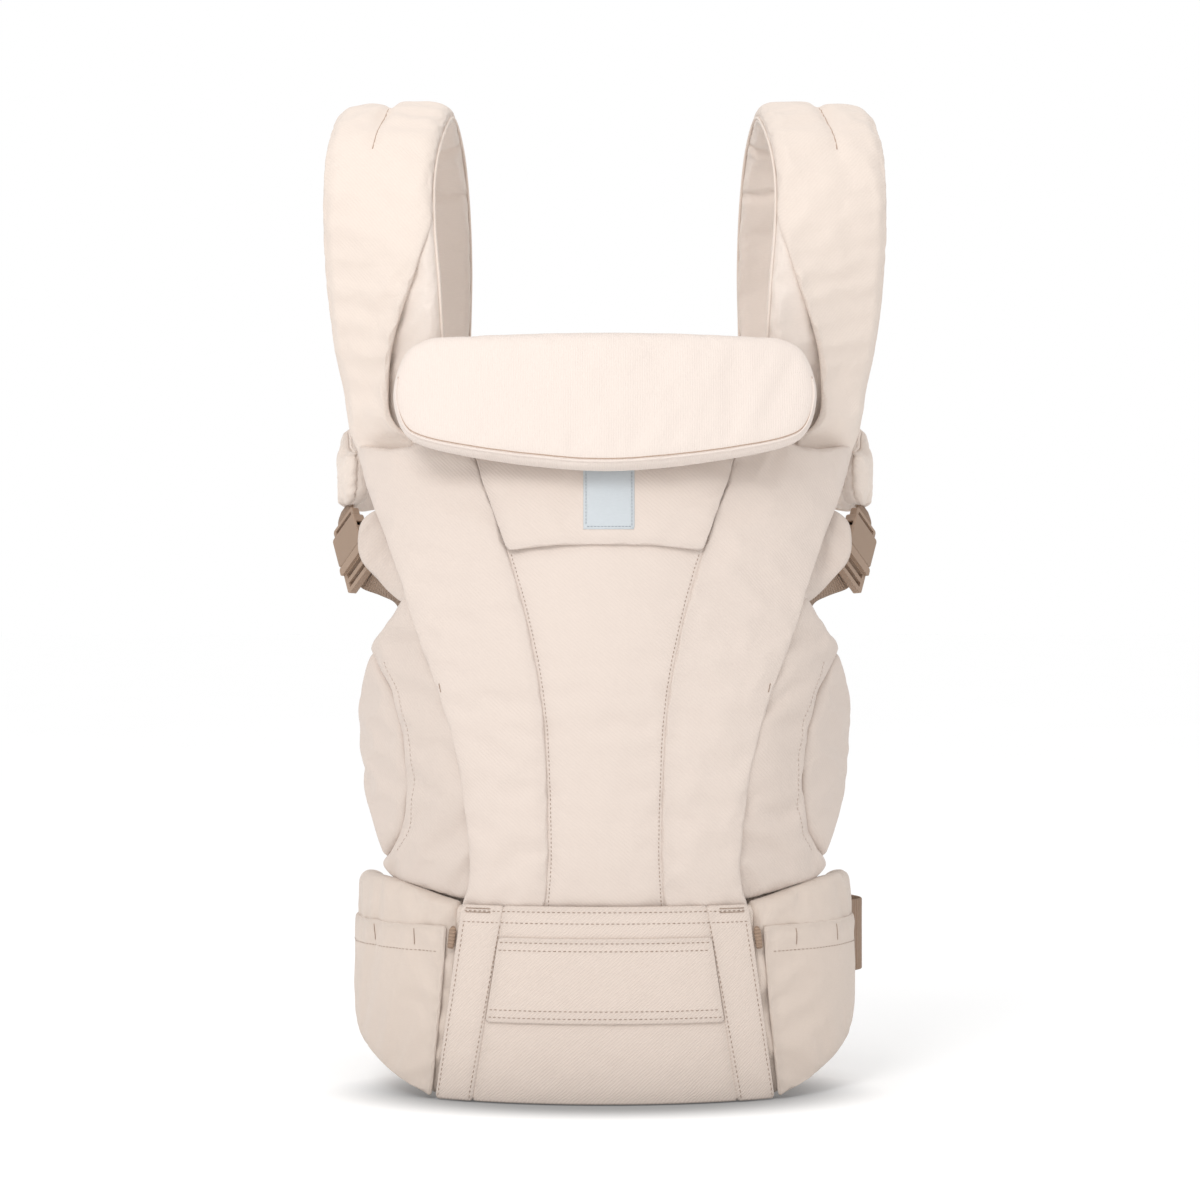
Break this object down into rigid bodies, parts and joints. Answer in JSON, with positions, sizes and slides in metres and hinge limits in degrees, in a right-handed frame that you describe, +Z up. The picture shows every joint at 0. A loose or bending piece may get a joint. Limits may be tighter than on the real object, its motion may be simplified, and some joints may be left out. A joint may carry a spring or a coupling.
{
  "type": "soft baby carrier",
  "caption": "Soft structured baby carrier with a padded belt, a curved panel with a fold-down headrest, and padded shoulder straps, buckled and standing on its belt.",
  "frame": {"origin": "on the floor, under the middle of the carrier's box, as it stands on its waist belt", "axes": "+Z up along the carrier's height, -Y towards the onlooker of the panel's front, +X to the onlooker's right"},
  "size_m": [0.3836, 0.3118, 0.682],
  "materials": {
    "cover_fabric": "cotton twill, ivory",
    "lining_fabric": "soft cotton jersey",
    "padding": "foam under cloth",
    "webbing": "woven nylon webbing, tan",
    "buckle_plastic": "satin acetal, tan",
    "label_fabric": "woven satin, plain",
    "elastic": "knitted elastic, tan"
  },
  "bodies": {
    "carrier": {"centre_panel": "cover_fabric", "panel_lining": "lining_fabric", "hood_pocket": "cover_fabric", "woven_label": "label_fabric", "chest_rails": "buckle_plastic", "belt_front_pad": "padding", "belt_front_cover": "cover_fabric", "belt_band": "cover_fabric", "belt_strips": "cover_fabric", "pocket_elastics": "elastic", "lumbar_pad": "padding", "waist_webbing": "webbing", "waist_short_webbing": "webbing", "waist_socket": "buckle_plastic", "left_yoke_panel": "cover_fabric", "left_seat_wing": "cover_fabric", "left_leg_bolster": "cover_fabric", "left_strap_lining": "lining_fabric", "left_strap_foam": "padding", "left_strap_cover": "cover_fabric", "left_strap_socket": "buckle_plastic", "left_strap_webbing": "webbing", "left_tab_webbing": "webbing", "left_side_tab": "cover_fabric", "left_belt_wing": "cover_fabric", "left_belt_pocket": "cover_fabric", "right_yoke_panel": "cover_fabric", "right_seat_wing": "cover_fabric", "right_leg_bolster": "cover_fabric", "right_strap_lining": "lining_fabric", "right_strap_foam": "padding", "right_strap_cover": "cover_fabric", "right_strap_socket": "buckle_plastic", "right_strap_webbing": "webbing", "right_tab_webbing": "webbing", "right_side_tab": "cover_fabric", "right_belt_wing": "cover_fabric", "right_belt_pocket": "cover_fabric"},
    "headrest_body": {"headrest_back_cover": "lining_fabric", "headrest_foam": "padding", "headrest_front_cover": "cover_fabric"},
    "hood_body": {"stowed_hood": "lining_fabric"},
    "left_side_plug_body": {"left_strap_plug": "buckle_plastic"},
    "left_side_front_arm_body": {"left_plug_front_arm": "buckle_plastic"},
    "left_side_rear_arm_body": {"left_plug_rear_arm": "buckle_plastic"},
    "right_side_plug_body": {"right_strap_plug": "buckle_plastic"},
    "right_side_front_arm_body": {"right_plug_front_arm": "buckle_plastic"},
    "right_side_rear_arm_body": {"right_plug_rear_arm": "buckle_plastic"},
    "chest_left_body": {"left_chest_slider": "buckle_plastic", "left_chest_webbing": "webbing", "chest_socket": "buckle_plastic"},
    "chest_right_body": {"right_chest_slider": "buckle_plastic", "right_chest_webbing": "webbing"},
    "chest_plug_body": {"chest_plug": "buckle_plastic"},
    "chest_upper_arm_body": {"chest_plug_upper_arm": "buckle_plastic"},
    "chest_lower_arm_body": {"chest_plug_lower_arm": "buckle_plastic"},
    "waist_plug_body": {"waist_plug": "buckle_plastic"},
    "waist_upper_arm_body": {"waist_plug_upper_arm": "buckle_plastic"},
    "waist_lower_arm_body": {"waist_plug_lower_arm": "buckle_plastic"}
  },
  "joints": [
    {"name": "headrest_fold", "type": "hinge", "parent": "carrier", "child": "headrest_body", "pos_m": [0, -0.12, 0.506], "axis": [-1, 0, 0], "range_deg": [0, 160]},
    {"name": "hood_pull", "type": "slide", "parent": "carrier", "child": "hood_body", "axis": [0, -0.1701, -0.9854], "range_m": [0, 0.04]},
    {"name": "left_side_release", "type": "slide", "parent": "carrier", "child": "left_side_plug_body", "axis": [0.25, -0.5199, -0.8168], "range_m": [0, 0.024]},
    {"name": "left_side_front_arm", "type": "hinge", "parent": "left_side_plug_body", "child": "left_side_front_arm_body", "pos_m": [-0.16648, -0.03735, 0.37341], "axis": [-0.8494, -0.5227, 0.0728], "range_deg": [0, 8], "stiffness_Nm_per_rad": 0.02},
    {"name": "left_side_rear_arm", "type": "hinge", "parent": "left_side_plug_body", "child": "left_side_rear_arm_body", "pos_m": [-0.17852, -0.01985, 0.35859], "axis": [0.8494, 0.5227, -0.0728], "range_deg": [0, 8], "stiffness_Nm_per_rad": 0.02},
    {"name": "right_side_release", "type": "slide", "parent": "carrier", "child": "right_side_plug_body", "axis": [-0.25, -0.5199, -0.8168], "range_m": [0, 0.024]},
    {"name": "right_side_front_arm", "type": "hinge", "parent": "right_side_plug_body", "child": "right_side_front_arm_body", "pos_m": [0.16648, -0.03735, 0.37341], "axis": [-0.8494, 0.5227, -0.0728], "range_deg": [0, 8], "stiffness_Nm_per_rad": 0.02},
    {"name": "right_side_rear_arm", "type": "hinge", "parent": "right_side_plug_body", "child": "right_side_rear_arm_body", "pos_m": [0.17852, -0.01985, 0.35859], "axis": [0.8494, -0.5227, 0.0728], "range_deg": [0, 8], "stiffness_Nm_per_rad": 0.02},
    {"name": "chest_left_slide", "type": "slide", "parent": "carrier", "child": "chest_left_body", "axis": [0, 0, 1], "range_m": [-0.01, 0.028]},
    {"name": "chest_right_slide", "type": "slide", "parent": "carrier", "child": "chest_right_body", "axis": [0, 0, 1], "range_m": [-0.01, 0.028]},
    {"name": "chest_release", "type": "slide", "parent": "chest_right_body", "child": "chest_plug_body", "axis": [1, 0, 0], "range_m": [0, 0.0222]},
    {"name": "chest_upper_arm", "type": "hinge", "parent": "chest_plug_body", "child": "chest_upper_arm_body", "pos_m": [-0.009, 0.102, 0.51039], "axis": [0, -1, 0], "range_deg": [0, 8], "stiffness_Nm_per_rad": 0.02},
    {"name": "chest_lower_arm", "type": "hinge", "parent": "chest_plug_body", "child": "chest_lower_arm_body", "pos_m": [-0.009, 0.102, 0.48961], "axis": [0, 1, 0], "range_deg": [0, 8], "stiffness_Nm_per_rad": 0.02},
    {"name": "waist_release", "type": "slide", "parent": "carrier", "child": "waist_plug_body", "axis": [0.6744, 0.7384, 0], "range_m": [0, 0.0331]},
    {"name": "waist_upper_arm", "type": "hinge", "parent": "waist_plug_body", "child": "waist_upper_arm_body", "pos_m": [-0.12745, 0.09096, 0.12575], "axis": [0.7384, -0.6744, 0], "range_deg": [0, 8], "stiffness_Nm_per_rad": 0.02},
    {"name": "waist_lower_arm", "type": "hinge", "parent": "waist_plug_body", "child": "waist_lower_arm_body", "pos_m": [-0.12745, 0.09096, 0.07425], "axis": [-0.7384, 0.6744, 0], "range_deg": [0, 8], "stiffness_Nm_per_rad": 0.02}
  ],
  "couplings": [
    {"joint": "chest_right_slide", "follows": "chest_left_slide", "ratio": 1}
  ]
}
